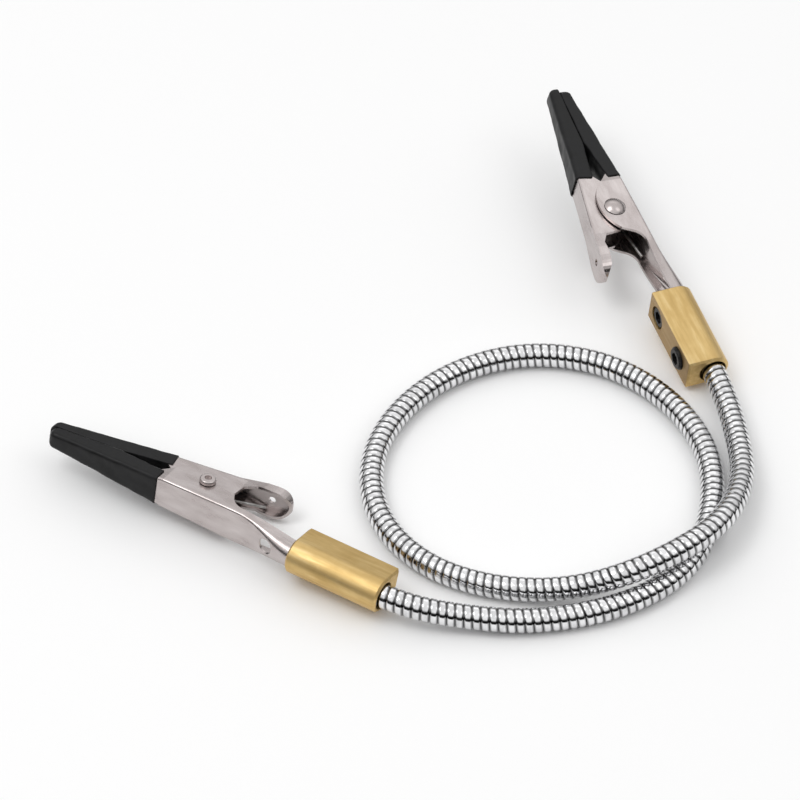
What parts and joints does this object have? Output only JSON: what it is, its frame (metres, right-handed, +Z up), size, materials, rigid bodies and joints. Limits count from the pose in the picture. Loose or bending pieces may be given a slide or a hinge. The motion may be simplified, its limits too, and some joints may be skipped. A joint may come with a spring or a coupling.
{
  "type": "ground clamp",
  "caption": "Flexible gooseneck arm in a loose loop, with a sleeved alligator clip held in a brass block at each end.",
  "frame": {"origin": "middle of the whole object's bounding box in plan, on the surface that it lies on", "axes": "+Z up from that surface; the left clip points towards -X, and the right clip towards +Y"},
  "size_m": [0.1432, 0.145, 0.0173],
  "materials": {
    "nickel_plate": "satin nickel plate on stamped steel",
    "chromed_coil": "chromed steel winding",
    "brass": "satin, drawn brass",
    "black_sleeve": "satin, slightly wrinkled",
    "black_oxide": "black oxide",
    "spring_wire": "drawn steel wire"
  },
  "bodies": {
    "arm": {"arm_loop": "chromed_coil", "left_swing_bend": "chromed_coil", "right_swing_bend": "chromed_coil"},
    "left_link": {"left_arm_link": "chromed_coil", "left_lift_bend": "chromed_coil"},
    "left_head": {"left_arm_end": "chromed_coil", "left_brass_block": "brass", "left_clip_set_screw": "black_oxide", "left_arm_set_screw": "black_oxide", "left_fixed_jaw": "nickel_plate", "left_fixed_jaw_sleeve": "black_sleeve", "left_pivot_rivet": "nickel_plate", "left_torsion_spring": "spring_wire"},
    "left_lever": {"left_lever_jaw": "nickel_plate", "left_lever_jaw_sleeve": "black_sleeve"},
    "right_link": {"right_arm_link": "chromed_coil", "right_lift_bend": "chromed_coil"},
    "right_head": {"right_arm_end": "chromed_coil", "right_brass_block": "brass", "right_clip_set_screw": "black_oxide", "right_arm_set_screw": "black_oxide", "right_fixed_jaw": "nickel_plate", "right_fixed_jaw_sleeve": "black_sleeve", "right_pivot_rivet": "nickel_plate", "right_torsion_spring": "spring_wire"},
    "right_lever": {"right_lever_jaw": "nickel_plate", "right_lever_jaw_sleeve": "black_sleeve"}
  },
  "joints": [
    {"name": "left_arm_swing", "type": "hinge", "parent": "arm", "child": "left_link", "pos_m": [0.0447, -0.0649, 0.0025], "axis": [0, 0, 1], "range_deg": [-6, 60], "deforming": ["left_swing_bend"]},
    {"name": "left_arm_lift", "type": "hinge", "parent": "left_link", "child": "left_head", "pos_m": [0.0058, -0.06825, 0.00405], "axis": [0.1515, 0.9885, 0], "range_deg": [-25, 55], "deforming": ["left_lift_bend"]},
    {"name": "left_lever_open", "type": "hinge", "parent": "left_head", "child": "left_lever", "pos_m": [-0.03891, -0.03889, 0.00612], "axis": [-0.1315, -0.1402, -0.9814], "range_deg": [0, 28], "stiffness_Nm_per_rad": 0.05, "springref_deg": -28.65, "deforming": ["left_torsion_spring"]},
    {"name": "right_arm_swing", "type": "hinge", "parent": "arm", "child": "right_link", "pos_m": [0.0635, -0.0482, 0.008], "axis": [0, 0, 1], "range_deg": [-60, 3], "deforming": ["right_swing_bend"]},
    {"name": "right_arm_lift", "type": "hinge", "parent": "right_link", "child": "right_head", "pos_m": [0.06755, -0.0112, 0.004], "axis": [0.9809, 0.1947, 0], "range_deg": [-25, 55], "deforming": ["right_lift_bend"]},
    {"name": "right_lever_open", "type": "hinge", "parent": "right_head", "child": "right_lever", "pos_m": [0.04472, 0.03781, 0.01092], "axis": [0.1966, -0.0576, 0.9788], "range_deg": [0, 28], "stiffness_Nm_per_rad": 0.05, "springref_deg": -28.65, "deforming": ["right_torsion_spring"]}
  ]
}
